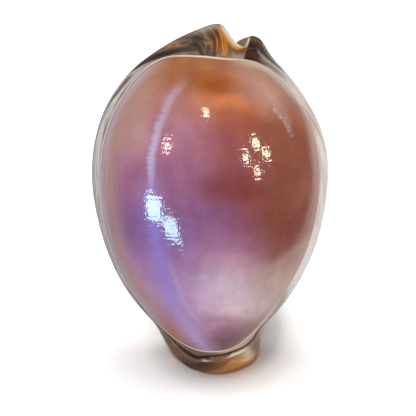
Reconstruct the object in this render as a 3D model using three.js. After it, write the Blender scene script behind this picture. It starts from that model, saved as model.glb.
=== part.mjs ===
// Cowrie shell: a closed, polished egg with a slotted base, standing upright on its narrow end.
// The surface is drawn as spokes that leave the top of the back, cross the rim of the polished
// dome, run over the crest of the margin and the base, and end on the floor of the slot.
// Shell axes in millimetres: w to the right, s along the shell to its broad end, h to the back.
import * as THREE from 'three';

// Stance on the ground
const LEAN_BACK = 15; // degrees between the shell's axis and the vertical
const FOOT_LEVEL = 1.1; // the narrow end is worn flat at this height above the shell's origin

// Polished dome: an egg outline raised to a rounded back
const EGG_MIDDLE = 37;
const EGG_HALF_LENGTH = 38.5;
const EGG_HALF_WIDTH = 26.5;
const EGG_BROAD_END = 4.2; // widens the broad end and narrows the other
const EGG_TAPER = -4.7; // narrows both ends
const EGG_SKEW = -0.6; // slides the broad end to the left
const BACK = { w: 0, s: 42, h: 42 }; // highest point of the back
const DOME_FOOT_H = 13; // height at which the dome would stand vertical

// How far down the dome is exposed, in degrees from the top of the back, every 15 degrees
// clockwise from the broad end
const EXPOSED = [
  61, 63, 72, 75, 76, 72, 68, 67, 66, 66, 66, 64,
  62, 64, 68, 73, 76, 75, 72, 72, 75, 76, 75, 66,
];

// Crest of the margin, clockwise seen from the back: w, s, h
const CREST = [
  [7.0, 73.0, 15.5], // saddle of the rear canal
  [8.5, 73.0, 13.3],
  [9.3, 74.3, 10.8],
  [9.7, 75.1, 8.5], // right lobe
  [11.9, 74.2, 8.0],
  [14.1, 70.8, 8.5],
  [17.2, 67.3, 9.5],
  [21.0, 62.6, 10.0],
  [24.5, 56.8, 10.5],
  [27.0, 50.0, 11.0],
  [27.7, 42.0, 11.0], // widest on the right
  [26.8, 33.4, 10.5],
  [24.6, 24.8, 10.0],
  [20.7, 16.4, 9.2],
  [16.4, 10.2, 8.5],
  [13.0, 5.6, 7.9], // right neck
  [12.0, -0.4, 7.6], // right corner of the foot
  [9.6, -3.0, 12.6],
  [2.4, -3.9, 17.0], // front of the foot
  [-4.6, -3.4, 14.0],
  [-8.4, -1.4, 9.0], // left corner of the foot
  [-10.8, 2.3, 7.8],
  [-13.6, 7.2, 8.0], // left neck
  [-18.1, 12.7, 8.5],
  [-22.4, 20.2, 9.5],
  [-25.9, 30.5, 10.5],
  [-27.7, 42.8, 11.0], // widest on the left
  [-26.0, 54.4, 11.0],
  [-22.4, 62.0, 11.0],
  [-17.8, 67.6, 11.0],
  [-12.8, 71.5, 11.0],
  [-7.6, 74.6, 11.0],
  [-2.2, 77.0, 11.5],
  [1.9, 78.0, 12.0], // left lobe
  [3.8, 76.3, 12.8],
  [5.2, 74.2, 14.2],
];

// Slot in the base, from the rear canal down to the front canal
const SLOT_TOP = 69.5;
const SLOT_BOTTOM = 0.3;
const SLOT_HALF_GAP = 2;
const SLOT_MIDDLE = 1.2; // to the right of the shell's axis, in its straight front part
const SLOT_BEND = { from: 15, to: 70, aside: 5 };
const SLOT_FLOOR_TOP = 66.9;
const SLOT_FLOOR_BOTTOM = 3.2;
const SLOT_FLOOR_H = 12;
const LIP_H = 1.6;
const BASE_H = -0.9;
const CANAL_SPREAD = 0.03; // share of the round taken by each canal
const FOOT_SPREAD = [0.065, 0.11]; // share of the round that rests on the ground, and its fading edge
const TOOTH_RELIEF = 0.5;

// The right lobe curls in behind the saddle of the rear canal
const HOOK_TURN = 0.045;
const HOOK_SPREAD = 0.03;
const HOOK_REACH = { x: -4.3, y: 0.3, z: -6.5 };

// Faces of the lobes towards the dome: a hollow below the saddle, a swelling below the right lobe
const HOLLOW_TURN = -0.025;
const HOLLOW_SPREAD = 0.045;
const SWELLING_TURN = 0.085;
const SWELLING_SPREAD = 0.03;

// Mesh density
const SPOKES = 168;
const SPOKES_PER_TOOTH = 4;
const DOME_RINGS = [
  { spokes: 42, from: 0.12, to: 0.36, count: 3 },
  { spokes: 84, from: 0.48, to: 0.72, count: 3 },
  { spokes: 168, from: 0.8, to: 1, count: 4 },
];
const SECTION_STOPS = [
  0, 0.03, 0.07, 0.12, 0.19, 0.27, 0.35, 0.42, 0.48, 0.55, 0.63, 0.71, 0.78, 0.84, 0.88, 0.92, 0.96, 1,
];

const radians = THREE.MathUtils.degToRad;
const vec = (w, s, h) => new THREE.Vector3(w, s, h);
const mix = (a, b, t) => a.clone().lerp(b, t);
const FULL_TURN = 2 * Math.PI;

// Control values whose closed cubic spline passes through the given rows of numbers
function closedControls(rows) {
  const count = rows.length;
  let controls = rows.map((row) => row.slice());
  for (let round = 0; round < 80; round += 1) {
    controls = controls.map((row, i) => {
      const before = controls[(i + count - 1) % count];
      const after = controls[(i + 1) % count];
      return row.map((value, k) => value + 0.8 * (rows[i][k] - (before[k] + 4 * value + after[k]) / 6));
    });
  }
  return controls;
}

// Point on a closed cubic spline, with turn running from 0 to 1 once round
function closedCurve(controls, turn) {
  const count = controls.length;
  const place = (turn - Math.floor(turn)) * count;
  const first = Math.floor(place);
  const t = place - first;
  const weights = [
    (1 - t) ** 3 / 6,
    (3 * t ** 3 - 6 * t ** 2 + 4) / 6,
    (-3 * t ** 3 + 3 * t ** 2 + 3 * t + 1) / 6,
    t ** 3 / 6,
  ];
  return controls[0].map((_, k) =>
    weights.reduce((sum, weight, j) => sum + weight * controls[(first - 1 + j + count) % count][k], 0),
  );
}

// Weights of the control points of an open cubic spline that starts and ends on its end points
function openWeights(count, t) {
  const spans = count - 3;
  const knot = (i) => Math.min(Math.max(i - 3, 0), spans) / spans;
  const at = Math.min(t, 1 - 1e-9);
  let weights = Array.from({ length: count + 3 }, (_, i) => (at >= knot(i) && at < knot(i + 1) ? 1 : 0));
  for (let degree = 1; degree <= 3; degree += 1) {
    weights = weights.slice(0, -1).map((weight, i) => {
      const rise = knot(i + degree) - knot(i);
      const fall = knot(i + degree + 1) - knot(i + 1);
      const up = rise > 0 ? ((at - knot(i)) / rise) * weight : 0;
      const down = fall > 0 ? ((knot(i + degree + 1) - at) / fall) * weights[i + 1] : 0;
      return up + down;
    });
  }
  return weights;
}

const crestControls = closedControls(CREST);
const exposedControls = closedControls(EXPOSED.map((angle) => [angle]));
const smoothCrest = CREST.map((row, i) => {
  const before = CREST[(i + CREST.length - 1) % CREST.length];
  const after = CREST[(i + 1) % CREST.length];
  return row.map((value, k) => (before[k] + value + after[k]) / 3);
});

// Direction in which a spoke leaves the top of the back, clockwise from the broad end
function meridianOf(turn) {
  const [w, s] = closedCurve(smoothCrest, turn);
  return Math.atan2(w / EGG_HALF_WIDTH, (s - EGG_MIDDLE) / EGG_HALF_LENGTH);
}

function domePoint(meridian, angle) {
  const c = Math.cos(meridian);
  const halfWidth = EGG_HALF_WIDTH + EGG_BROAD_END * c + EGG_TAPER * c * c;
  const w = Math.sin(meridian) * halfWidth + EGG_SKEW * c;
  const s = EGG_MIDDLE + EGG_HALF_LENGTH * c;
  const out = Math.sin(angle);
  return vec(
    BACK.w + (w - BACK.w) * out,
    BACK.s + (s - BACK.s) * out,
    DOME_FOOT_H + (BACK.h - DOME_FOOT_H) * Math.cos(angle),
  );
}

// Bell that is 1 at the given meridian and fades over the given width, in degrees
function bell(meridian, centre, width) {
  const away = THREE.MathUtils.euclideanModulo((meridian * 180) / Math.PI - centre + 180, 360) - 180;
  return Math.exp(-((away / width) ** 2));
}

// 1 at the given place of the round, counted from the saddle either way, fading over the spread
function near(turn, centre, spread) {
  const signed = turn - Math.round(turn);
  return Math.exp(-(((signed - centre) / spread) ** 2));
}

// Middle of the slot: straight in front, bending to the right at the rear canal
function slotMiddle(s) {
  const bend = THREE.MathUtils.clamp((s - SLOT_BEND.from) / (SLOT_BEND.to - SLOT_BEND.from), 0, 1);
  return SLOT_MIDDLE + SLOT_BEND.aside * bend * bend;
}

// Height along the shell of the ground below a point at height h of the back
const groundBelow = (h) => (FOOT_LEVEL - h * Math.sin(radians(LEAN_BACK))) / Math.cos(radians(LEAN_BACK));

const footShare = (turn) => 1 - THREE.MathUtils.smoothstep(Math.abs(turn - 0.5), ...FOOT_SPREAD);

function slotLip(turn) {
  const half = 2 * Math.min(turn, 1 - turn);
  const side = turn <= 0.5 ? 1 : -1;
  const toRear = near(turn, 0, CANAL_SPREAD);
  const toFront = Math.exp(-(((turn - 0.5) / CANAL_SPREAD) ** 2));
  const canal = toRear + toFront;
  const reach = Math.min(1, half / 0.9);
  const s = SLOT_TOP + (SLOT_BOTTOM - SLOT_TOP) * reach;
  const gap = SLOT_HALF_GAP * Math.sqrt(Math.max(0, 1 - (2 * half - 1) ** 8));
  const lipH = LIP_H + (SLOT_FLOOR_H - LIP_H) * canal;
  const lipS = s + (groundBelow(lipH) - 0.2 - s) * footShare(turn);
  const floorS = SLOT_FLOOR_TOP + (SLOT_FLOOR_BOTTOM - SLOT_FLOOR_TOP) * half;
  const lip = vec(slotMiddle(s) + side * gap, lipS, lipH);
  const floor = vec(slotMiddle(floorS) + side * gap * 0.5, floorS, SLOT_FLOOR_H);
  const wall = mix(lip, floor, 0.5);
  wall.x += side * gap * 0.2;
  return { canal, side, lip, wall, floor };
}

// Control points of one spoke's section, from the crevice at the dome's rim to the slot's floor
function sectionControls(turn) {
  const meridian = meridianOf(turn);
  const exposed = radians(closedCurve(exposedControls, meridian / FULL_TURN)[0]);
  const rim = domePoint(meridian, exposed);
  const down = domePoint(meridian, exposed + 0.001).sub(domePoint(meridian, exposed - 0.001)).normalize();
  const round = domePoint(meridian + 0.001, exposed).sub(domePoint(meridian - 0.001, exposed)).normalize();
  const normal = round.clone().cross(down).normalize();
  const rear = bell(meridian, -12, 42);
  const front = bell(meridian, 180, 34);

  const depth = 0.3 + 1.5 * rear + 1.3 * front;
  const crevice = rim.clone().addScaledVector(normal, -depth).addScaledVector(down, 0.35 * depth);
  const crest = vec(...closedCurve(crestControls, turn));
  const outward = rim.clone().sub(vec(0, BACK.s, 6)).normalize();
  const between = (t, lift) => mix(crevice, crest, t).addScaledVector(outward, lift);
  const hollow = near(turn, HOLLOW_TURN, HOLLOW_SPREAD);
  const swelling = near(turn, SWELLING_TURN, SWELLING_SPREAD);
  const ledge = between(0.15, 0.05 + 0.7 * front + 0.2 * rear);
  const furrow = between(0.36, 0.35 - front - 0.9 * rear - 1.3 * hollow + swelling);
  const flank = between(0.66, 0.7 - 0.4 * front - 1.2 * rear - 0.9 * hollow + 1.3 * swelling);

  const { canal, lip, wall, floor } = slotLip(turn);
  const foot = footShare(turn);
  const edgeH = 0.25 * crest.z + 0.2;
  const edge = mix(crest, lip, 0.07).setZ(edgeH);
  edge.y += (groundBelow(edgeH) - 0.5 - edge.y) * foot;
  const base = mix(crest, lip, 0.5).setZ(BASE_H);
  base.y += (groundBelow(BASE_H) - 0.3 - base.y) * foot;
  edge.lerp(mix(crest, lip, 0.3), canal);
  base.lerp(mix(crest, lip, 0.65), canal);
  const hook = near(turn, HOOK_TURN, HOOK_SPREAD);
  edge.lerp(crest.clone().add(HOOK_REACH), hook);
  const controls = [crevice, ledge, furrow, flank, crest, crest, edge, base, lip, wall, floor];
  return { meridian, exposed, controls };
}

const STOP_WEIGHTS = SECTION_STOPS.map((stop) => openWeights(11, stop));

// Points of one spoke from the crevice to the slot, with the teeth raised along the lip
function sectionPoints(index) {
  const turn = index / SPOKES;
  const { controls } = sectionControls(turn);
  const { canal, side } = slotLip(turn);
  const tooth = Math.cos((FULL_TURN * index) / SPOKES_PER_TOOTH) * TOOTH_RELIEF * (1 - Math.min(1, canal));
  return STOP_WEIGHTS.map((weights, row) => {
    const point = vec(0, 0, 0);
    weights.forEach((weight, i) => point.addScaledVector(controls[i], weight));
    const relief = tooth * Math.exp(-(((SECTION_STOPS[row] - 0.86) / 0.05) ** 2));
    point.x -= side * relief * 0.5;
    point.z -= relief * 0.8;
    return point;
  });
}

// From shell axes to the upright frame, flattening what would reach below the ground
function stand(point) {
  const lean = radians(LEAN_BACK);
  const back = -point.z * Math.cos(lean) + point.y * Math.sin(lean);
  const up = point.y * Math.cos(lean) + point.z * Math.sin(lean) - FOOT_LEVEL;
  return vec(point.x, back, Math.max(0, up));
}

function buildShell() {
  const points = [];
  const faces = [];
  const addPoint = (point) => points.push(stand(point)) - 1;
  const addRing = (ring) => ring.map(addPoint);

  // Joins two rings; the outer one has the same number of spokes or twice as many
  function bridge(inner, outer) {
    const step = outer.length / inner.length;
    inner.forEach((a, j) => {
      const b = inner[(j + 1) % inner.length];
      const first = outer[j * step];
      const last = outer[((j + 1) * step) % outer.length];
      if (step === 1) {
        faces.push([a, b, last], [a, last, first]);
        return;
      }
      const middle = outer[j * step + 1];
      faces.push([a, middle, first], [a, b, middle], [b, last, middle]);
    });
  }

  const apex = addPoint(vec(BACK.w, BACK.s, BACK.h));
  const rings = [];
  DOME_RINGS.forEach(({ spokes, from, to, count }) => {
    for (let k = 0; k < count; k += 1) {
      const share = from + ((to - from) * k) / (count - 1);
      const ring = Array.from({ length: spokes }, (_, j) => {
        const { meridian, exposed } = sectionControls(j / spokes);
        return domePoint(meridian, exposed * share);
      });
      rings.push(addRing(ring));
    }
  });
  const sections = Array.from({ length: SPOKES }, (_, index) => sectionPoints(index));
  SECTION_STOPS.forEach((_, row) => rings.push(addRing(sections.map((section) => section[row]))));

  rings[0].forEach((a, j) => faces.push([apex, rings[0][(j + 1) % rings[0].length], a]));
  for (let k = 1; k < rings.length; k += 1) {
    bridge(rings[k - 1], rings[k]);
  }

  // Floor of the slot, from the right wall across to the left one
  const last = rings[rings.length - 1];
  for (let i = 0; i < SPOKES / 2; i += 1) {
    const left = last[(SPOKES - i) % SPOKES];
    const nextLeft = last[SPOKES - i - 1];
    if (last[i + 1] !== nextLeft) {
      faces.push([last[i], last[i + 1], nextLeft]);
    }
    if (last[i] !== left) {
      faces.push([last[i], nextLeft, left]);
    }
  }

  const geometry = new THREE.BufferGeometry().setFromPoints(points);
  geometry.setIndex(faces.flat());
  geometry.computeBoundingBox();
  const { min, max } = geometry.boundingBox;
  geometry.translate(-(min.x + max.x) / 2, -(min.y + max.y) / 2, -min.z);
  geometry.computeVertexNormals();
  return geometry;
}

const shell = new THREE.Mesh(
  buildShell(),
  new THREE.MeshStandardMaterial({ color: 0x9a6a62, roughness: 0.25, metalness: 0 }),
);
shell.name = 'shell';

const part = new THREE.Group();
part.name = 'cowrie_shell';
part.add(shell);

export default part;
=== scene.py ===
import math
from collections import namedtuple

import bpy
import numpy as np
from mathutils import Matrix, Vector


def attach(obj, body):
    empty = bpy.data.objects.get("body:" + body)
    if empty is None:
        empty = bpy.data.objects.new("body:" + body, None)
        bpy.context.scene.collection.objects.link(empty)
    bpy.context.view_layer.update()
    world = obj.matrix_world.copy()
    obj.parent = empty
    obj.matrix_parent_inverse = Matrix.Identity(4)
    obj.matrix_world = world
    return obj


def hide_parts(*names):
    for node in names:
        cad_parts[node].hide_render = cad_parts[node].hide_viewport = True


# Looks of the polished cowrie shell: its fine surface, pigment, gloss, and the photograph's view.
# Shell axes in millimetres: w to the right, s along the shell to its broad end, h to the back.
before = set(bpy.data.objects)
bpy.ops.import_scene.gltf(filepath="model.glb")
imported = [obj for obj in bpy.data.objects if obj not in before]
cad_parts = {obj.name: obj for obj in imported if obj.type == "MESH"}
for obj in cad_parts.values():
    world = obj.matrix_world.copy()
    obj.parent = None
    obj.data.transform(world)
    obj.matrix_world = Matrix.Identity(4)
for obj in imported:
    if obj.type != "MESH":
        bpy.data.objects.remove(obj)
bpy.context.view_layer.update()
MM = 0.001
MM_PER_CM = 10

# Stance on the ground
LEAN_BACK = math.radians(15)
FOOT_LEVEL = 1.1

# Polished dome: an egg outline raised to a rounded back
EGG_MIDDLE = 37.0
EGG_HALF_LENGTH = 38.5
EGG_HALF_WIDTH = 26.5
EGG_BROAD_END = 4.2
EGG_TAPER = -4.7
EGG_SKEW = -0.6
BACK_S = 42.0
BACK_H = 42.0
DOME_FOOT_H = 13.0

# How far down the dome is exposed, in degrees from the top of the back, every 15 degrees
# clockwise from the broad end
EXPOSED = [
    61, 63, 72, 75, 76, 72, 68, 67, 66, 66, 66, 64,
    62, 64, 68, 73, 76, 75, 72, 72, 75, 76, 75, 66,
]

# Crest of the margin, clockwise seen from the back: w, s, h
CREST = np.array([
    (7.0, 73.0, 15.5),  # saddle of the rear canal
    (8.5, 73.0, 13.3),
    (9.3, 74.3, 10.8),
    (9.7, 75.1, 8.5),  # right lobe
    (11.9, 74.2, 8.0),
    (14.1, 70.8, 8.5),
    (17.2, 67.3, 9.5),
    (21.0, 62.6, 10.0),
    (24.5, 56.8, 10.5),
    (27.0, 50.0, 11.0),
    (27.7, 42.0, 11.0),  # widest on the right
    (26.8, 33.4, 10.5),
    (24.6, 24.8, 10.0),
    (20.7, 16.4, 9.2),
    (16.4, 10.2, 8.5),
    (13.0, 5.6, 7.9),  # right neck
    (12.0, -0.4, 7.6),  # right corner of the foot
    (9.6, -3.0, 12.6),
    (2.4, -3.9, 17.0),  # front of the foot
    (-4.6, -3.4, 14.0),
    (-8.4, -1.4, 9.0),  # left corner of the foot
    (-10.8, 2.3, 7.8),
    (-13.6, 7.2, 8.0),  # left neck
    (-18.1, 12.7, 8.5),
    (-22.4, 20.2, 9.5),
    (-25.9, 30.5, 10.5),
    (-27.7, 42.8, 11.0),  # widest on the left
    (-26.0, 54.4, 11.0),
    (-22.4, 62.0, 11.0),
    (-17.8, 67.6, 11.0),
    (-12.8, 71.5, 11.0),
    (-7.6, 74.6, 11.0),
    (-2.2, 77.0, 11.5),
    (1.9, 78.0, 12.0),  # left lobe
    (3.8, 76.3, 12.8),
    (5.2, 74.2, 14.2),
])

# Slot in the base, from the rear canal down to the front canal
SLOT_TOP = 69.5
SLOT_BOTTOM = 0.3
SLOT_HALF_GAP = 2.0
SLOT_MIDDLE = 1.2
SLOT_BEND_FROM = 15.0
SLOT_BEND_TO = 70.0
SLOT_BEND_ASIDE = 5.0
SLOT_FLOOR_TOP = 66.9
SLOT_FLOOR_BOTTOM = 3.2
SLOT_FLOOR_H = 12.0
LIP_H = 1.6
BASE_H = -0.9
CANAL_SPREAD = 0.03
FOOT_SPREAD = (0.065, 0.11)
TOOTH_RELIEF = 0.5
TEETH_ROUND = 42
TOOTH_ROW = 0.86
TOOTH_ROW_SPREAD = 0.05

# Meridians where the margin is raised and folded at each end, with the spread, in degrees
REAR_END = (-12, 42)
FRONT_END = (180, 34)
INNER_H = 6.0  # the margin swells away from a point this high under the back

# The right lobe curls in behind the saddle of the rear canal
HOOK_TURN = 0.045
HOOK_SPREAD = 0.03
HOOK_REACH = (-4.3, 0.3, -6.5)

# Faces of the lobes towards the dome: a hollow below the saddle, a swelling below the right lobe
HOLLOW_TURN = -0.025
HOLLOW_SPREAD = 0.045
SWELLING_TURN = 0.085
SWELLING_SPREAD = 0.03

# The crevice above the fold of the foot, in rows of the section
FOLD_CREVICE = 0.036

# Markings: distance from the rim to the top of the back, and the step from the rim into the crevice
TOP_EDGE = 40.0
RIM_STEP = 0.3

# One ring of the mesh: its points, its row in the sections, distances from the dome's rim, teeth
Ring = namedtuple("Ring", "points row edge tooth")

# Mesh density: rings of the dome as (spokes, share of the way to its rim), then rows of the sections
SPOKES = 640
DOME_RINGS = (
    [(80, share) for share in np.linspace(0.02, 0.08, 4)]
    + [(160, share) for share in np.linspace(0.10, 0.20, 5)]
    + [(320, share) for share in np.linspace(0.22, 0.40, 8)]
    + [(SPOKES, share) for share in np.linspace(0.42, 1.0, 40)]
)
SECTION_STOPS = np.concatenate([np.linspace(0, 0.2, 18)[:-1], np.linspace(0.2, 1, 52)])

# A pale lavender line down the back: s and w along it
LAVENDER_LINE = [
    (2.0, 0.4), (8.5, -3.6), (17.0, -8.4), (25.0, -11.0), (34.0, -12.4), (43.0, -13.0),
    (50.0, -12.9), (56.5, -11.2), (62.0, -8.9), (66.5, -5.4), (69.5, -1.8), (72.0, 2.0),
]

# View of the photograph
IMAGE_PX = 416
VIEW_ELEVATION = math.radians(22)
VIEW_DISTANCE = 420.0
SENSOR_MM = 36.0
NEAREST_SEEN = 0.01
PIXELS_PER_MM = 4.285
VIEW_CENTRE = np.array([0.0, 40.0, 13.0])  # shell point seen at VIEW_CENTRE_PX
VIEW_CENTRE_PX = (210.0, 187.3)

# Painted shadow on the ground round the foot: its centre and reach, in metres
SHADE_CENTRE = (0.0035, 0.015)
SHADE_REACH = (0.0184, 0.0335)
GROUND_REACH = 1.6
GROUND_SINK = 0.0001

# Pigment: places across and along the dome are in centimetres, distances from its rim in millimetres
DOME_LENGTH = 8.0
FLANK_SPREAD = 2.5  # how far the dome's pigment spreads past the rim on the right flank
CREST_ROW = 0.43
HEM_ROW = 0.38

# Polish
POLISH_ROUGHNESS = 0.08
POLISH_IOR = 1.6
BUMP_HEIGHT = 7e-5
RIPPLE_SHARE = 0.45
DIMPLE_SHARE = 0.5
LAYER_SHARE = 2.5

# Lights: name, azimuth and elevation in degrees, distance and size in metres, power in watts, colour
COOL = (0.50, 0.85, 1.0)
WARM = (1.0, 0.87, 0.68)
WHITE = (1.0, 1.0, 1.0)
HIGHLIGHTS = [
    ("window_upper", -52.5, -4.5, 0.13, (0.034, 0.031), 0.056, COOL),
    ("window_lower", -36.8, -11.5, 0.13, (0.028, 0.022), 0.031, COOL),
    ("side_strip", 104.0, 27.0, 0.13, (0.005, 0.040), 0.0022, COOL),
    ("side_panel", 110.0, 31.0, 0.13, (0.020, 0.050), 0.0022, COOL),
]
LAMP_PLACES = [(63, 33), (45, 29), (70, 24), (54, 18), (-8, 65), (-56, 32)]
FILLS = [
    ("overhead", 0.0, 90.0, 0.4, (0.6, 0.6), 0.6, WHITE),
    ("front_fill", 5.0, 8.0, 0.6, (0.4, 0.3), 0.42, WHITE),
    ("left_fill", -118.0, 12.0, 0.5, (0.4, 0.4), 0.4, WHITE),
    ("right_fill", 118.0, 12.0, 0.5, (0.4, 0.4), 0.4, WHITE),
]


def closed_controls(points):
    """Control points whose closed cubic spline passes through the given points."""
    controls = points.copy()
    for _ in range(80):
        passed = (np.roll(controls, 1, 0) + 4 * controls + np.roll(controls, -1, 0)) / 6
        controls = controls + 0.8 * (points - passed)
    return controls


def closed_curve(controls, turn):
    count = len(controls)
    place = (turn % 1.0) * count
    first = np.floor(place).astype(int)
    t = (place - first)[:, None]
    weights = (
        (1 - t) ** 3 / 6,
        (3 * t**3 - 6 * t**2 + 4) / 6,
        (-3 * t**3 + 3 * t**2 + 3 * t + 1) / 6,
        t**3 / 6,
    )
    return sum(weight * controls[(first - 1 + k) % count] for k, weight in enumerate(weights))


def open_weights(count, t):
    """Weights of the control points of an open cubic spline that starts and ends on its end points."""
    spans = count - 3
    knots = np.clip(np.arange(count + 4) - 3, 0, spans) / spans
    at = np.minimum(t, 1 - 1e-9)[:, None]
    weights = ((at >= knots[:-1]) & (at < knots[1:])).astype(float)
    for degree in (1, 2, 3):
        rise = knots[degree:-1] - knots[: -degree - 1]
        fall = knots[degree + 1 :] - knots[1:-degree]
        up = np.where(rise > 0, (at - knots[: -degree - 1]) / np.where(rise > 0, rise, 1), 0)
        down = np.where(fall > 0, (knots[degree + 1 :] - at) / np.where(fall > 0, fall, 1), 0)
        weights = up * weights[:, :-1] + down * weights[:, 1:]
    return weights


def unit(vectors):
    return vectors / np.linalg.norm(vectors, axis=-1, keepdims=True)


def mix(a, b, t):
    return a + (b - a) * np.asarray(t)[..., None]


def smooth_step(value, low, high):
    t = np.clip((value - low) / (high - low), 0, 1)
    return t * t * (3 - 2 * t)


def dome_points(meridian, angle):
    c = np.cos(meridian)
    half_width = EGG_HALF_WIDTH + EGG_BROAD_END * c + EGG_TAPER * c * c
    w = np.sin(meridian) * half_width + EGG_SKEW * c
    s = EGG_MIDDLE + EGG_HALF_LENGTH * c
    out = np.sin(angle)
    h = DOME_FOOT_H + (BACK_H - DOME_FOOT_H) * np.cos(angle)
    return np.stack([w * out, BACK_S + (s - BACK_S) * out, h], -1)


def bell(meridian, centre, width):
    """1 at the given meridian, fading over the given width, in degrees."""
    away = (np.degrees(meridian) - centre + 180) % 360 - 180
    return np.exp(-((away / width) ** 2))


def near(turn, centre, spread):
    """1 at the given place of the round, counted from the saddle either way, fading over the spread."""
    return np.exp(-(((turn - np.round(turn) - centre) / spread) ** 2))


def slot_middle(s):
    bend = np.clip((s - SLOT_BEND_FROM) / (SLOT_BEND_TO - SLOT_BEND_FROM), 0, 1)
    return SLOT_MIDDLE + SLOT_BEND_ASIDE * bend**2


def ground_below(h):
    return (FOOT_LEVEL - h * math.sin(LEAN_BACK)) / math.cos(LEAN_BACK)


def foot_share(turn):
    return 1 - smooth_step(np.abs(turn - 0.5), *FOOT_SPREAD)


CREST_CONTROLS = closed_controls(CREST)
SMOOTH_CREST = (np.roll(CREST, 1, 0) + CREST + np.roll(CREST, -1, 0)) / 3
EXPOSED_CONTROLS = closed_controls(np.array(EXPOSED, float)[:, None])


def meridians(turn):
    """Directions in which the spokes leave the top of the back, and where they leave the dome."""
    w, s, _ = closed_curve(SMOOTH_CREST, turn).T
    meridian = np.arctan2(w / EGG_HALF_WIDTH, (s - EGG_MIDDLE) / EGG_HALF_LENGTH)
    exposed = np.radians(closed_curve(EXPOSED_CONTROLS, meridian / (2 * math.pi))[:, 0])
    return meridian, exposed


def slot_rows(turn):
    half = 2 * np.minimum(turn, 1 - turn)
    side = np.where(turn <= 0.5, 1.0, -1.0)
    canal = near(turn, 0, CANAL_SPREAD) + np.exp(-(((turn - 0.5) / CANAL_SPREAD) ** 2))
    s = SLOT_TOP + (SLOT_BOTTOM - SLOT_TOP) * np.minimum(1, half / 0.9)
    gap = SLOT_HALF_GAP * np.sqrt(np.maximum(0, 1 - (2 * half - 1) ** 8))
    lip_h = LIP_H + (SLOT_FLOOR_H - LIP_H) * canal
    lip_s = s + (ground_below(lip_h) - 0.2 - s) * foot_share(turn)
    floor_s = SLOT_FLOOR_TOP + (SLOT_FLOOR_BOTTOM - SLOT_FLOOR_TOP) * half
    lip = np.stack([slot_middle(s) + side * gap, lip_s, lip_h], -1)
    floor = np.stack([slot_middle(floor_s) + side * gap * 0.5, floor_s, np.full_like(s, SLOT_FLOOR_H)], -1)
    wall = (lip + floor) / 2
    wall[:, 0] += side * gap * 0.2
    return canal, side, lip, wall, floor


def section_rows(turn):
    """Points of every spoke from the crevice at the dome's rim to the floor of the slot."""
    meridian, exposed = meridians(turn)
    rim = dome_points(meridian, exposed)
    step = 0.001
    down = unit(dome_points(meridian, exposed + step) - dome_points(meridian, exposed - step))
    round_ = unit(dome_points(meridian + step, exposed) - dome_points(meridian - step, exposed))
    normal = unit(np.cross(round_, down))
    rear = bell(meridian, *REAR_END)
    front = bell(meridian, *FRONT_END)

    depth = (0.3 + 1.5 * rear + 1.3 * front)[:, None]
    crevice = rim - normal * depth + down * 0.35 * depth
    crest = closed_curve(CREST_CONTROLS, turn)
    outward = unit(rim - np.array([0, BACK_S, INNER_H]))

    def between(t, lift):
        return crevice + (crest - crevice) * t + outward * lift[:, None]

    hollow = near(turn, HOLLOW_TURN, HOLLOW_SPREAD)
    swelling = near(turn, SWELLING_TURN, SWELLING_SPREAD)
    ledge = between(0.15, 0.05 + 0.7 * front + 0.2 * rear)
    furrow = between(0.36, 0.35 - front - 0.9 * rear - 1.3 * hollow + swelling)
    flank = between(0.66, 0.7 - 0.4 * front - 1.2 * rear - 0.9 * hollow + 1.3 * swelling)

    canal, side, lip, wall, floor = slot_rows(turn)
    foot = foot_share(turn)
    edge = mix(crest, lip, np.full_like(turn, 0.07))
    edge[:, 2] = 0.25 * crest[:, 2] + 0.2
    edge[:, 1] += (ground_below(edge[:, 2]) - 0.5 - edge[:, 1]) * foot
    base = mix(crest, lip, np.full_like(turn, 0.5))
    base[:, 2] = BASE_H
    base[:, 1] += (ground_below(BASE_H) - 0.3 - base[:, 1]) * foot
    edge = mix(edge, mix(crest, lip, np.full_like(turn, 0.3)), canal)
    base = mix(base, mix(crest, lip, np.full_like(turn, 0.65)), canal)
    hook = near(turn, HOOK_TURN, HOOK_SPREAD)
    edge = mix(edge, crest + np.array(HOOK_REACH), hook)

    controls = np.stack([crevice, ledge, furrow, flank, crest, crest, edge, base, lip, wall, floor])
    points = np.einsum("rc,csk->rsk", open_weights(len(controls), SECTION_STOPS), controls)
    tooth = np.cos(2 * math.pi * TEETH_ROUND * turn) * (1 - np.minimum(1, canal))
    relief = tooth * np.exp(-(((SECTION_STOPS[:, None] - TOOTH_ROW) / TOOTH_ROW_SPREAD) ** 2))
    points[..., 0] -= side * relief * TOOTH_RELIEF * 0.5
    points[..., 2] -= relief * TOOTH_RELIEF * 0.8
    return points + fine_relief(points, turn), relief


def foot_fold(turn):
    """Row of the ridge that folds round the foot below a crevice, lowest a little right of the front."""
    return np.minimum(0.215, 0.125 + 37.0 * (turn - 0.478) ** 2)


def fine_relief(points, turn):
    """Grooves, rolls and dents of the lobes and the foot that are finer than the solid part."""
    row = SECTION_STOPS[:, None]

    def mark(centre_turn, spread_turn, centre_row, spread_row):
        return near(turn, centre_turn, spread_turn) * np.exp(-(((row - centre_row) / spread_row) ** 2))

    foot = np.exp(-(((turn - 0.5) / 0.075) ** 2))
    fold = row - foot_fold(turn)
    groove = foot * np.exp(-(((fold + FOLD_CREVICE) / 0.022) ** 2))
    ridge = foot * np.exp(-((fold / 0.025) ** 2))
    rim_roll = mark(-0.035, 0.035, 0.40, 0.07)
    swirl = mark(-0.105, 0.02, 0.16, 0.07)
    spire = mark(0.107, 0.006, 0.145, 0.025)
    lift = 0.35 * ridge - 0.55 * groove + 0.5 * rim_roll - 0.5 * swirl + 0.5 * spire
    along_round = np.roll(points, -1, 1) - np.roll(points, 1, 1)
    outward = unit(np.cross(along_round, np.gradient(points, axis=0)))
    return outward * lift[..., None]


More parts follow.
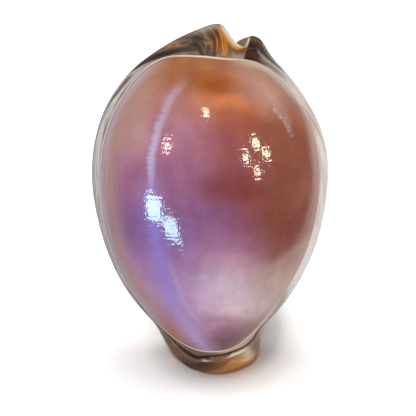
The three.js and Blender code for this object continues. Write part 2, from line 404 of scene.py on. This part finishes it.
def callus_sweep(turn):
    """How far the layers of callus sweep from the crest towards the dome, in rows of the section."""
    signed = turn - np.round(turn)
    return 0.9 * smooth_step(signed, -0.16, 0.0) * (1 - smooth_step(signed, 0.1, 0.42))


def stand(points):
    """From shell axes to the upright frame, flattening what would reach below the ground."""
    w, s, h = points[..., 0], points[..., 1], points[..., 2]
    back = s * math.sin(LEAN_BACK) - h * math.cos(LEAN_BACK)
    up = s * math.cos(LEAN_BACK) + h * math.sin(LEAN_BACK) - FOOT_LEVEL
    return np.stack([w, back, np.maximum(0, up)], -1)


def ring_faces(inner, outer):
    """Faces between two rings of vertex numbers; the outer ring has as many spokes or twice as many."""
    after = np.roll(inner, -1)
    if len(inner) == len(outer):
        return np.stack([inner, after, np.roll(outer, -1), outer], -1).tolist()
    first, middle = outer[0::2], outer[1::2]
    last = np.roll(first, -1)
    faces = np.stack([inner, middle, first], -1).tolist()
    faces += np.stack([inner, after, middle], -1).tolist()
    faces += np.stack([after, last, middle], -1).tolist()
    return faces


def shell_rings():
    """Rings of points from the top of the back, over the dome and its rim, to the floor of the slot."""
    top = np.array([[0, BACK_S, BACK_H]])
    rings = [Ring(top, -1.0, np.array([TOP_EDGE]), np.zeros(1))]
    for spokes, share in DOME_RINGS:
        meridian, exposed = meridians(np.arange(spokes) / spokes)
        points = dome_points(meridian, exposed * share)
        reach = np.linalg.norm(points - dome_points(meridian, exposed), axis=1)
        rings.append(Ring(points, share - 1.0, reach, np.zeros(spokes)))
    rows, relief = section_rows(np.arange(SPOKES) / SPOKES)
    for stop, points, tooth in zip(SECTION_STOPS, rows, relief):
        reach = np.linalg.norm(points - rows[0], axis=1)
        rings.append(Ring(points, stop, -RIM_STEP - reach, tooth))
    return rings


def shell_faces(rings):
    """Faces from the top point over all rings, closed across the floor of the slot."""
    numbers = np.arange(sum(len(ring.points) for ring in rings))
    ends = np.cumsum([len(ring.points) for ring in rings])
    top, *loops = np.split(numbers, ends[:-1])
    first, last = loops[0], loops[-1]
    faces = np.stack([np.full_like(first, top[0]), np.roll(first, -1), first], -1).tolist()
    for inner, outer in zip(loops, loops[1:]):
        faces += ring_faces(inner, outer)
    for i in range(SPOKES // 2):
        quad = [last[i], last[i + 1], last[SPOKES - i - 1], last[-i]]
        faces.append([int(corner) for corner in dict.fromkeys(quad)])
    return faces


def shell_markings(rings, points):
    """Values on every point that the pigment is drawn from."""
    turns = np.concatenate([np.arange(len(ring.points)) / len(ring.points) for ring in rings])
    rows = np.concatenate([np.full(len(ring.points), ring.row) for ring in rings])
    line_s, line_w = np.array(LAVENDER_LINE).T
    slope = np.gradient(line_w, line_s)
    lateral = points[:, 0] - np.interp(points[:, 1], line_s, line_w)
    return {
        "from_saddle": turns - np.round(turns),
        "from_foot": turns - 0.5,
        "layer": rows + callus_sweep(turns),
        "row": rows,
        "fold": rows - foot_fold(turns),
        "edge": np.concatenate([ring.edge for ring in rings]),
        "tooth": np.concatenate([ring.tooth for ring in rings]),
        "line_aside": lateral / np.sqrt(1 + np.interp(points[:, 1], line_s, slope) ** 2),
    }


def build_shell():
    """The fine shell mesh, with its shell coordinates and markings stored on its points."""
    rings = shell_rings()
    points = np.concatenate([ring.points for ring in rings])
    upright = stand(points)
    low, high = upright.min(0), upright.max(0)
    shift = np.array([-(low[0] + high[0]) / 2, -(low[1] + high[1]) / 2, 0])

    mesh = bpy.data.meshes.new("cowrie_shell")
    mesh.from_pydata(((upright + shift) * MM).tolist(), [], shell_faces(rings))
    mesh.polygons.foreach_set("use_smooth", [True] * len(mesh.polygons))
    places = mesh.attributes.new("shell_pos", "FLOAT_VECTOR", "POINT")
    places.data.foreach_set("vector", (points / MM_PER_CM).ravel())
    for name, values in shell_markings(rings, points).items():
        mesh.attributes.new(name, "FLOAT", "POINT").data.foreach_set("value", values)
    mesh.validate()
    shell = bpy.data.objects.new("cowrie_shell", mesh)
    bpy.context.scene.collection.objects.link(shell)
    return shell, shift


def srgb(red, green, blue):
    """Linear colour of an 8-bit screen colour."""
    values = []
    for channel in (red, green, blue):
        c = channel / 255
        values.append(c / 12.92 if c <= 0.04045 else ((c + 0.055) / 1.055) ** 2.4)
    return (*values, 1.0)


class Nodes:
    """Short calls for building a material's node tree."""

    def __init__(self, tree):
        self.tree = tree

    def put(self, kind, inputs=(), **settings):
        node = self.tree.nodes.new(kind)
        for name, value in settings.items():
            setattr(node, name, value)
        for socket, value in dict(inputs).items():
            self.feed(node, socket, value)
        return node

    def feed(self, node, socket, value):
        """Link a socket, or set it where the value is constant."""
        if isinstance(value, bpy.types.NodeSocket):
            self.tree.links.new(value, node.inputs[socket])
        else:
            node.inputs[socket].default_value = value

    def attribute(self, name, output="Fac"):
        return self.put("ShaderNodeAttribute", attribute_name=name).outputs[output]

    def math(self, operation, a, b=0.0, clamp=False):
        return self.put("ShaderNodeMath", {0: a, 1: b}, operation=operation, use_clamp=clamp).outputs[0]

    def plus(self, a, b):
        return self.math("ADD", a, b)

    def minus(self, a, b):
        return self.math("SUBTRACT", a, b)

    def times(self, first, *others):
        for other in others:
            first = self.math("MULTIPLY", first, other)
        return first

    def either(self, a, b):
        return self.math("MAXIMUM", a, b)

    def size(self, value):
        return self.math("ABSOLUTE", value)

    def swing(self, noise, reach):
        """Noise made to swing evenly about zero."""
        return self.times(self.minus(noise, 0.5), reach)

    def span(self, value, low, high):
        """0 at low, 1 at high, smoothly between; low may be above high."""
        ends = (low, high, 0.0, 1.0) if low < high else (high, low, 1.0, 0.0)
        inputs = {"Value": value, **dict(zip(("From Min", "From Max", "To Min", "To Max"), ends))}
        return self.put("ShaderNodeMapRange", inputs, interpolation_type="SMOOTHSTEP").outputs["Result"]

    def spot(self, across, along, centre, size):
        """Soft oval mark of the given half widths."""
        x = self.math("DIVIDE", self.minus(across, centre[0]), size[0])
        y = self.math("DIVIDE", self.minus(along, centre[1]), size[1])
        square = self.plus(self.times(x, x), self.times(y, y))
        return self.math("POWER", math.e, self.times(square, -1.0))

    def ramp(self, value, stops, interpolation="EASE"):
        node = self.put("ShaderNodeValToRGB", {"Fac": value})
        node.color_ramp.interpolation = interpolation
        elements = node.color_ramp.elements
        while len(elements) < len(stops):
            elements.new(1.0)
        for element, (place, colour) in zip(elements, stops):
            element.position = place
            element.color = colour
        return node.outputs["Color"]

    def blend(self, factor, a, b, mode="MIX"):
        node = self.put("ShaderNodeMix", data_type="RGBA", blend_type=mode)
        for socket, value in ((0, factor), (6, a), (7, b)):
            self.feed(node, socket, value)
        return node.outputs[2]

    def tint(self, colour, mask, strength, tone):
        """Lay a tone over the colour where the mask is up."""
        return self.blend(self.times(mask, strength), colour, tone)

    def stretch(self, vector, scale):
        node = self.put("ShaderNodeVectorMath", {0: vector, 1: scale}, operation="MULTIPLY")
        return node.outputs["Vector"]

    def noise(self, vector, scale, detail=2.0, roughness=0.5, w=None):
        inputs = {"Vector": vector, "Scale": scale, "Detail": detail, "Roughness": roughness}
        dimensions = "3D"
        if w is not None:
            inputs["W"] = w
            dimensions = "4D"
        return self.put("ShaderNodeTexNoise", inputs, noise_dimensions=dimensions).outputs["Fac"]


def shell_material():
    """Pigment and polish of the whole shell, from the markings stored on its mesh."""
    material = bpy.data.materials.new("cowrie_gloss")
    material.use_nodes = True
    n = Nodes(material.node_tree)
    shader = material.node_tree.nodes["Principled BSDF"]

    place = n.attribute("shell_pos", "Vector")
    across, along, _ = n.put("ShaderNodeSeparateXYZ", {0: place}).outputs
    row = n.attribute("row")
    flank = n.times(n.span(across, 0.9, 1.9), n.span(along, 0.8, 1.8), n.span(along, 6.4, 5.4))
    edge = n.plus(n.attribute("edge"), n.times(flank, FLANK_SPREAD))
    bands = callus_bands(n, place, n.attribute("layer"))

    dome = dome_pigment(n, place, across, along, edge)
    outside = margin_pigment(n, place, across, along, row, bands)
    colour = n.blend(n.span(edge, -0.28, -0.02), outside, dome)
    n.feed(shader, "Base Color", colour)

    # Polish broken by fine growth ripples and small dimples, and by the layers of the margin
    ripples = n.noise(n.stretch(place, (1.2, 13.0, 1.2)), 1.1)
    dimples = n.noise(place, 13.0, 1.0)
    layers = n.times(bands, n.span(edge, 0.0, -0.5))
    relief = n.plus(n.times(ripples, RIPPLE_SHARE), n.times(dimples, DIMPLE_SHARE))
    relief = n.plus(relief, n.times(layers, LAYER_SHARE))
    bump = n.put("ShaderNodeBump", {"Height": relief, "Distance": BUMP_HEIGHT, "Strength": 1.0})
    n.feed(shader, "Normal", bump.outputs["Normal"])
    n.feed(shader, "Roughness", POLISH_ROUGHNESS)
    n.feed(shader, "IOR", POLISH_IOR)
    return material


def dome_pigment(n, place, across, along, edge):
    """Colour of the polished dome: clouds of pigment with painted shade and reflections, a lavender line
    and the pale rim.
    """
    waver = n.swing(n.noise(place, 1.0, 3.0), 0.5)
    slant = n.times(n.either(n.minus(across, 0.4), 0.0), 0.38)
    wavy = n.plus(n.plus(along, slant), waver)
    colour = dome_bands(n, across, wavy)
    colour = dome_spots(n, across, along, wavy, colour)
    colour = dome_grain(n, place, colour)
    colour = lavender_line(n, place, along, colour)
    return dome_rim(n, place, across, along, edge, colour)


def dome_bands(n, across, wavy):
    """Bands up the dome, rosy to deep violet left of the middle, brown to the right."""
    level = n.times(wavy, 1 / DOME_LENGTH)
    middle = n.ramp(level, [
        (0.06, srgb(150, 96, 104)),
        (0.115, srgb(176, 122, 146)),
        (0.16, srgb(198, 148, 170)),
        (0.20, srgb(242, 208, 226)),
        (0.26, srgb(236, 208, 232)),
        (0.34, srgb(212, 160, 184)),
        (0.40, srgb(184, 122, 160)),
        (0.46, srgb(162, 98, 134)),
        (0.54, srgb(159, 84, 92)),
        (0.66, srgb(178, 100, 98)),
        (0.735, srgb(200, 112, 82)),
        (0.78, srgb(246, 144, 78)),
        (0.82, srgb(192, 104, 44)),
        (0.87, srgb(188, 122, 80)),
    ])
    violet = n.ramp(level, [
        (0.20, srgb(206, 158, 206)),
        (0.42, srgb(158, 112, 172)),
        (0.55, srgb(184, 122, 166)),
        (0.68, srgb(205, 141, 162)),
        (0.76, srgb(200, 136, 130)),
        (0.84, srgb(192, 122, 80)),
    ])
    brown = n.blend(n.span(wavy, 2.3, 3.4), srgb(216, 182, 168), srgb(162, 96, 72))
    colour = n.tint(middle, n.span(across, 0.5, -0.7), 0.92, violet)
    return n.tint(colour, n.span(across, 0.3, 1.6), 0.85, brown)


def dome_spots(n, across, along, wavy, colour):
    """Painted shade above the foot, single clouds of pigment with a painted pink highlight on the left,
    and a painted reflection of the ground low on the right.
    """
    # Painted shade: the dome is darker, in deep violet, low above the foot
    painted_foot_shade = n.span(n.minus(along, n.times(across, 0.35)), 1.05, 0.55)
    colour = n.tint(colour, painted_foot_shade, 0.85, srgb(128, 82, 98))
    slanting = n.plus(along, n.times(across, 0.15))
    for height, centre, size, strength, tone in (
        (wavy, (1.7, 3.9), (0.9, 0.5), 0.6, srgb(142, 70, 40)),  # chestnut on the right
        (wavy, (1.15, 6.7), (0.65, 0.45), 0.85, srgb(226, 172, 154)),  # blush near the broad end
        (along, (0.1, 6.55), (0.5, 0.2), 0.7, srgb(184, 88, 16)),  # amber near the broad end
        (wavy, (0.7, 1.9), (0.8, 0.5), 0.4, srgb(240, 214, 218)),  # pale low down
        (along, (-0.9, 0.8), (0.6, 0.6), 0.85, srgb(196, 130, 92)),  # ember low on the left
        (slanting, (0.45, 4.35), (0.9, 0.2), 0.55, srgb(146, 72, 60)),  # russet band in the middle
        # The next spot is a painted highlight, pale pink, on the left
        (along, (-1.6, 5.5), (0.3, 0.5), 0.6, srgb(220, 176, 176)),  # pink on the left
    ):
        colour = n.tint(colour, n.spot(across, height, centre, size), strength, tone)
    # Painted reflection of the bright ground: a pale tone low on the right of the dome, behind a slanting
    # edge
    painted_ground_reflection = n.span(n.minus(along, n.times(across, 0.6)), 1.85, 1.6)
    painted_ground_reflection = n.times(painted_ground_reflection, n.span(across, 0.7, 1.3), n.span(along, 1.2, 2.0))
    return n.tint(colour, painted_ground_reflection, 0.4, srgb(204, 170, 154))


def dome_grain(n, place, colour):
    """Fine grain round the shell, streaks drawn out along it and soft clouds."""
    for scale, stretch, dark, light in (
        (1.6, (0.9, 14.0, 0.9), (0.975, 0.97, 0.97, 1), (1.02, 1.02, 1.02, 1)),
        (1.0, (3.2, 1.2, 2.0), (0.93, 0.93, 0.955, 1), (1.06, 1.055, 1.04, 1)),
        (1.7, (1.0, 1.0, 1.0), (0.92, 0.90, 0.90, 1), (1.06, 1.08, 1.08, 1)),
    ):
        grain = n.noise(n.stretch(place, stretch), scale, 3.0, 0.6)
        colour = n.blend(1.0, colour, n.ramp(grain, [(0.3, dark), (0.7, light)]), "MULTIPLY")
    return colour


def lavender_line(n, place, along, colour):
    """A lavender line, finely barred, fading out at the top, with a fainter twin lower down."""
    bars = n.noise(n.stretch(place, (1.5, 9.0, 1.5)), 1.6, 3.0, 0.6)
    aside = n.plus(n.attribute("line_aside"), n.swing(bars, 1.6))
    distance = n.size(aside)
    glow = n.times(n.span(distance, 4.5, 0.4), 0.5, n.span(along, 4.9, 3.9))
    breadth = n.plus(1.0, n.times(n.span(along, 4.4, 3.5), 0.9))
    core = n.span(n.math("DIVIDE", distance, breadth), 1.4, 0.15)
    core = n.times(core, n.math("ADD", 0.35, n.times(bars, 0.9), clamp=True))
    line = n.times(n.either(glow, core), n.span(along, 6.8, 6.1))
    tone = n.ramp(n.times(along, 1 / DOME_LENGTH), [
        (0.10, srgb(206, 176, 232)),
        (0.30, srgb(172, 146, 236)),
        (0.45, srgb(168, 148, 240)),
        (0.64, srgb(228, 210, 248)),
        (0.78, srgb(217, 182, 208)),
    ])
    colour = n.blend(line, colour, tone)
    twin = n.span(n.size(n.minus(aside, 2.4)), 1.2, 0.1)
    twin = n.times(twin, n.span(along, 0.9, 1.4), n.span(along, 2.9, 1.9))
    return n.tint(colour, twin, 0.45, srgb(214, 186, 238))


def dome_rim(n, place, across, along, edge, colour):
    """Rim of the dome: a streaky beige veil, a painted lavender-white reflection on the left, cream on the
    right, a line.
    """
    streak = n.noise(n.stretch(place, (0.35, 0.35, 0.35)), 2.2, 3.0, 0.6, n.times(edge, 1.4))
    left = n.span(across, -0.8, -1.6)
    right = n.span(across, 0.3, 1.5)
    upper = n.span(along, 4.4, 5.4)
    left_veil = n.either(n.span(edge, 15.0, 6.0), n.times(upper, n.span(edge, 22.0, 8.0)))
    right_veil = n.times(n.span(edge, 10.0, 3.0), 0.6)
    veil = n.either(n.times(left, left_veil), n.times(right, right_veil))
    colour = n.tint(colour, n.times(veil, n.span(streak, 0.15, 0.6)), 0.92, srgb(204, 162, 142))
    # Painted reflection: a lavender-white shine inside the rim on the left
    painted_shine = n.times(left, n.span(edge, 7.5, 2.0), n.span(streak, 0.3, 0.65))
    colour = n.tint(colour, painted_shine, 0.9, srgb(212, 210, 234))
    corner = n.times(n.span(across, 0.3, 1.2), n.span(along, 5.4, 6.4))
    cream = n.either(n.times(right, n.span(edge, 2.6, 0.9)), n.times(corner, n.span(edge, 4.5, 1.0)))
    colour = n.tint(colour, cream, n.span(streak, 0.2, 0.55), srgb(236, 216, 192))

    # A broken cream line edged with orange, broader on the left, lost on the right flank
    inward = n.math("DIVIDE", edge, n.plus(1.0, n.times(left, 0.8)))
    inward = n.plus(inward, n.swing(streak, 0.9))
    drawn = n.minus(1.0, n.times(n.span(across, 0.4, 1.4), n.span(along, 0.8, 1.8)))
    for start, full, strength, tone in (
        (1.05, 0.8, 0.75, srgb(222, 146, 72)),
        (0.78, 0.6, 1.0, srgb(255, 244, 228)),
        (0.25, 0.05, 0.6, srgb(206, 138, 70)),
    ):
        colour = n.tint(colour, n.times(n.span(inward, start, full), drawn), strength, tone)
    return colour


def callus_bands(n, place, layer):
    """Noise drawn out along the layers of callus that cover the margin and the lobes."""
    drift = n.noise(n.stretch(place, (0.6, 0.6, 0.6)), 1.0)
    depth = n.plus(n.times(layer, 8.5), n.times(drift, 4.0))
    return n.noise(n.stretch(place, (0.8, 0.8, 0.8)), 1.0, 2.0, 0.45, depth)


def margin_pigment(n, place, across, along, row, bands):
    """Colour outside the dome: streaked margin, brown lobes and foot, and the base."""
    wall = n.ramp(bands, [
        (0.36, srgb(104, 76, 58)),
        (0.5, srgb(164, 128, 98)),
        (0.64, srgb(206, 178, 150)),
    ])
    left = n.ramp(bands, [
        (0.34, srgb(128, 106, 94)),
        (0.42, srgb(206, 196, 188)),
        (0.50, srgb(244, 238, 232)),
        (0.58, srgb(204, 194, 186)),
        (0.68, srgb(246, 240, 234)),
    ])
    left = n.blend(n.span(row, 0.22, 0.46), left, wall)
    right = n.ramp(bands, [
        (0.34, srgb(214, 190, 168)),
        (0.46, srgb(244, 232, 218)),
        (0.62, srgb(252, 246, 240)),
    ])
    right = n.blend(n.span(row, 0.30, 0.52), right, wall)
    colour = n.blend(n.span(across, -0.5, 0.5), left, right)
    turn = n.attribute("from_saddle")
    # Painted shade in the groove between the left callus ridge and the dome
    painted_groove_shade = n.spot(turn, row, (-0.211, 0.115), (0.012, 0.035))
    colour = n.blend(painted_groove_shade, colour, srgb(70, 38, 16))

    wavy = n.plus(along, n.swing(bands, 2.0))
    colour = n.blend(n.span(wavy, 6.5, 7.1), colour, rear_pigment(n, turn, row, bands))
    colour = n.blend(n.span(wavy, 2.1, 0.9), colour, foot_pigment(n, row, bands))
    return n.blend(n.span(row, 0.5, 0.62), colour, base_pigment(n, place, row))


def base_pigment(n, place, row):
    """Fawn base with paler clouds, cream teeth, dark between them, and painted shade on the floor of the
    slot.
    """
    clouds = n.noise(place, 1.6, 4.0, 0.6)
    colour = n.ramp(clouds, [
        (0.32, srgb(158, 112, 78)),
        (0.5, srgb(196, 158, 124)),
        (0.68, srgb(226, 202, 176)),
    ])
    colour = n.blend(n.span(row, 0.72, 0.8), colour, srgb(236, 220, 198))
    colour = n.tint(colour, n.span(n.attribute("tooth"), 0.1, -0.5), 0.75, srgb(128, 80, 52))
    # Painted shade: the floor of the slot is dark, for the shaded hollow inside
    return n.blend(n.span(row, 0.9, 0.97), colour, srgb(84, 56, 56))


def rear_pigment(n, turn, row, bands):
    """Lobes and canal at the broad end: smoky callus with a painted sheen, an orange hollow, a cream rim,
    and painted shade in the recesses.
    """
    colour = n.ramp(bands, [
        (0.30, srgb(40, 30, 28)),
        (0.42, srgb(72, 56, 50)),
        (0.47, srgb(112, 88, 74)),
        (0.505, srgb(184, 136, 94)),
        (0.54, srgb(126, 102, 88)),
        (0.62, srgb(84, 68, 62)),
        (0.72, srgb(56, 44, 42)),
    ])
    # The first spot is a painted sheen, pale grey, at the left lobe's outline; the others are darker
    # patches
    for centre, size, tone in (
        ((-0.098, 0.37), (0.030, 0.05), srgb(204, 190, 172)),
        ((-0.083, 0.26), (0.010, 0.07), srgb(76, 52, 40)),
        ((-0.118, 0.24), (0.012, 0.07), srgb(56, 44, 42)),
        ((-0.095, 0.12), (0.014, 0.06), srgb(84, 68, 62)),
    ):
        colour = n.tint(colour, n.spot(turn, row, centre, size), 0.75, tone)
    orange = n.ramp(bands, [
        (0.34, srgb(160, 84, 24)),
        (0.45, srgb(216, 132, 48)),
        (0.51, srgb(242, 172, 88)),
        (0.57, srgb(220, 136, 52)),
        (0.68, srgb(164, 88, 28)),
    ])
    colour = n.blend(n.spot(turn, row, (-0.055, 0.22), (0.028, 0.14)), colour, orange)

    # The right lobe is brown, with painted shade in a recess and an amber patch
    brown = n.ramp(bands, [(0.38, srgb(36, 18, 8)), (0.52, srgb(84, 46, 24)), (0.66, srgb(150, 98, 56))])
    colour = n.blend(n.span(turn, 0.03, 0.065), colour, brown)
    # Painted shade: a near-black spot in the recess under the right lobe
    colour = n.blend(n.spot(turn, row, (0.02, 0.13), (0.034, 0.09)), colour, srgb(50, 24, 10))
    colour = n.tint(colour, n.spot(turn, row, (0.015, 0.30), (0.035, 0.06)), 0.8, srgb(176, 98, 40))

    # Cream rim of the canal, wider on the left lobe, orange along both its sides
    width = n.put("ShaderNodeMapRange", {
        "Value": turn, "From Min": -0.02, "From Max": 0.02, "To Min": 0.11, "To Max": 0.07,
    }).outputs["Result"]
    away = n.math("DIVIDE", n.size(n.minus(row, CREST_ROW)), width)
    stretch = n.times(n.span(turn, -0.085, -0.06), n.span(turn, 0.075, 0.06))
    colour = n.blend(n.times(stretch, n.span(away, 1.4, 0.95)), colour, srgb(232, 152, 70))
    colour = n.blend(n.times(stretch, n.span(away, 1.05, 0.6)), colour, srgb(255, 234, 196))
    wall = n.times(n.span(turn, 0.0, 0.015), n.span(row, 0.48, 0.52), n.span(turn, 0.09, 0.07))
    colour = n.blend(wall, colour, srgb(150, 126, 106))
    # Painted shade in the crevice under the lobes, along the dome's rim
    shade = n.times(n.span(row, 0.075, 0.02), n.span(turn, -0.10, -0.03))
    return n.tint(colour, shade, 0.9, srgb(34, 20, 14))


def foot_pigment(n, row, bands):
    """Narrow end: a bead, a crevice in painted shade, a cream ridge with a painted highlight, golden and
    dark brown, an orange hem.
    """
    turn = n.attribute("from_foot")
    fold = n.attribute("fold")
    colour = n.ramp(bands, [
        (0.34, srgb(50, 34, 28)),
        (0.46, srgb(82, 58, 46)),
        (0.54, srgb(150, 98, 56)),
        (0.64, srgb(96, 70, 56)),
    ])
    golden = n.ramp(bands, [
        (0.40, srgb(196, 122, 48)),
        (0.50, srgb(226, 152, 72)),
        (0.60, srgb(255, 218, 166)),
    ])
    colour = n.blend(n.spot(turn, row, (-0.022, 0.27), (0.026, 0.12)), colour, golden)
    for centre, size, tone in (
        ((0.03, 0.30), (0.018, 0.10), srgb(74, 54, 48)),
        ((-0.042, 0.20), (0.014, 0.07), srgb(255, 228, 180)),
        ((-0.064, 0.30), (0.010, 0.12), srgb(112, 68, 36)),
    ):
        colour = n.tint(colour, n.spot(turn, row, centre, size), 0.85, tone)

    # Ridge of the fold with a painted highlight in front; the bead and the crevice, in painted shade,
    # above it; the hem below
    foot = n.span(n.size(turn), 0.125, 0.075)
    ridge = n.times(n.span(n.size(fold), 0.026, 0.008), foot)
    colour = n.tint(colour, ridge, 0.4, srgb(220, 150, 96))
    # Painted highlight: near-white on the front of the ridge
    lit = n.times(n.span(turn, 0.026, 0.012), n.span(turn, -0.06, -0.045), n.span(bands, 0.38, 0.5))
    colour = n.blend(n.times(ridge, lit), colour, srgb(255, 246, 236))
    bead = n.blend(n.span(turn, 0.012, -0.02), srgb(150, 116, 100), srgb(250, 206, 160))
    colour = n.tint(colour, n.times(n.span(fold, -0.05, -0.065), foot), 0.85, bead)
    # Painted shade: a dark line in the crevice above the ridge
    crevice = n.span(n.size(n.plus(fold, FOLD_CREVICE)), 0.02, 0.006)
    colour = n.tint(colour, n.times(crevice, foot), 0.95, srgb(40, 24, 14))
    hem = n.span(n.size(n.minus(row, HEM_ROW)), 0.045, 0.012)
    return n.tint(colour, n.times(hem, foot), 0.8, srgb(236, 150, 72))


def floor_material():
    """White ground with a painted shadow close round the foot, fading to the bright backdrop; in the
    shell's reflections it has a painted pool of light to the right.
    """
    material = bpy.data.materials.new("white_ground")
    material.use_nodes = True
    n = Nodes(material.node_tree)
    shader = material.node_tree.nodes["Principled BSDF"]
    rays = n.put("ShaderNodeLightPath").outputs
    place = n.put("ShaderNodeNewGeometry").outputs["Position"]
    x, y, _ = n.put("ShaderNodeSeparateXYZ", {0: place}).outputs
    # Painted pool of light: to the shell's reflections the ground is bright only to the right of the foot
    lit = n.times(n.span(x, -0.04, 0.03), n.span(n.minus(x, y), 0.095, 0.065))
    mirrored = n.ramp(lit, [(0.0, (0.22, 0.22, 0.26, 1)), (1.0, (0.9, 0.88, 0.86, 1))], "LINEAR")
    bounced = n.blend(rays["Is Glossy Ray"], (0.8, 0.8, 0.8, 1), mirrored)
    # Painted shadow: to the camera the ground is darker close round the foot
    aside = n.math("DIVIDE", n.minus(x, SHADE_CENTRE[0]), SHADE_REACH[0])
    behind = n.math("DIVIDE", n.minus(y, SHADE_CENTRE[1]), SHADE_REACH[1])
    away = n.math("SQRT", n.plus(n.times(aside, aside), n.times(behind, behind)))
    tone = n.ramp(n.times(away, 0.5), [
        (0.27, (0.62, 0.60, 0.59, 1)),
        (0.36, (0.86, 0.85, 0.84, 1)),
        (0.44, (1.36, 1.35, 1.34, 1)),
        (0.56, (1.66, 1.65, 1.65, 1)),
    ], "LINEAR")
    n.feed(shader, "Base Color", n.blend(rays["Is Camera Ray"], bounced, tone))
    n.feed(shader, "Roughness", 1.0)
    n.feed(shader, "Specular IOR Level", 0.0)
    return material


def lay_floor():
    mesh = bpy.data.meshes.new("ground")
    r = GROUND_REACH
    mesh.from_pydata([(-r, -r, 0), (r, -r, 0), (r, r, 0), (-r, r, 0)], [], [(0, 1, 2, 3)])
    mesh.materials.append(floor_material())
    ground = bpy.data.objects.new("ground", mesh)
    ground.location.z = -GROUND_SINK
    bpy.context.scene.collection.objects.link(ground)


def light_world():
    """Even soft light, a white backdrop, and darker surroundings for the shell to mirror."""
    scene = bpy.context.scene
    world = bpy.data.worlds.new("studio")
    scene.world = world
    world.use_nodes = True
    n = Nodes(world.node_tree)
    background = world.node_tree.nodes["Background"]
    rays = n.put("ShaderNodeLightPath").outputs
    way = n.put("ShaderNodeSeparateXYZ", {0: n.put("ShaderNodeTexCoord").outputs["Generated"]}).outputs
    low_behind = n.times(n.span(way["Y"], 0.3, 0.9), n.span(way["Z"], 0.5, 0.1))
    mirrored = n.ramp(low_behind, [(0.0, (0.06, 0.06, 0.07, 1)), (1.0, (0.13, 0.13, 0.135, 1))])
    tone = n.blend(rays["Is Glossy Ray"], (0.54, 0.54, 0.55, 1), mirrored)
    n.feed(background, "Color", n.blend(rays["Is Camera Ray"], tone, (1.0, 1.0, 1.0, 1)))
    n.feed(background, "Strength", 1.0)
    scene.view_settings.view_transform = "Standard"
    scene.view_settings.look = "None"


def add_light(aim, name, azimuth, elevation, distance, size, power, colour):
    """Rectangular light seen from the aim point at that azimuth (from -Y to +X) and elevation, degrees."""
    az, el = math.radians(azimuth), math.radians(elevation)
    way = Vector((math.sin(az) * math.cos(el), -math.cos(az) * math.cos(el), math.sin(el)))
    data = bpy.data.lights.new(name, "AREA")
    data.shape = "RECTANGLE"
    data.size, data.size_y = size
    data.energy = power
    data.color = colour
    light = bpy.data.objects.new(name, data)
    light.location = aim + way * distance
    light.rotation_euler = way.to_track_quat("Z", "Y").to_euler()
    bpy.context.scene.collection.objects.link(light)
    return light


def add_lights(aim):
    """Windows, panels and lamps that only the polish mirrors, and fills that it doesn't mirror."""
    highlights = HIGHLIGHTS + [
        (f"lamp_{index}", azimuth, elevation, 0.6, (0.062, 0.062), 0.28, WARM)
        for index, (azimuth, elevation) in enumerate(LAMP_PLACES)
    ]
    for highlight in highlights:
        add_light(aim, *highlight).visible_diffuse = False
    for fill in FILLS:
        add_light(aim, *fill).visible_glossy = False


def place_camera(shift):
    """The photograph's view; returns the point of the shell that the lights aim at."""
    centre = Vector((stand(VIEW_CENTRE) + shift) * MM)
    back = Vector((0, -math.cos(VIEW_ELEVATION), math.sin(VIEW_ELEVATION)))
    up = Vector((0, math.sin(VIEW_ELEVATION), math.cos(VIEW_ELEVATION)))
    right = Vector((1, 0, 0))
    middle = IMAGE_PX / 2
    aside = (middle - VIEW_CENTRE_PX[0]) / PIXELS_PER_MM * MM
    below = (middle - VIEW_CENTRE_PX[1]) / PIXELS_PER_MM * MM
    eye = centre + back * VIEW_DISTANCE * MM
    aim = centre + right * aside - up * below
    data = bpy.data.cameras.new("view")
    data.sensor_width = SENSOR_MM
    data.lens = PIXELS_PER_MM * VIEW_DISTANCE * SENSOR_MM / IMAGE_PX
    data.clip_start = NEAREST_SEEN
    camera = bpy.data.objects.new("view", data)
    camera.location = eye
    camera.rotation_euler = (eye - aim).to_track_quat("Z", "Y").to_euler()
    bpy.context.scene.collection.objects.link(camera)
    bpy.context.scene.camera = camera
    return centre


shell, shell_shift = build_shell()
shell.data.materials.append(shell_material())
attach(shell, "root")
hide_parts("shell")

lay_floor()
light_world()
add_lights(place_camera(shell_shift))
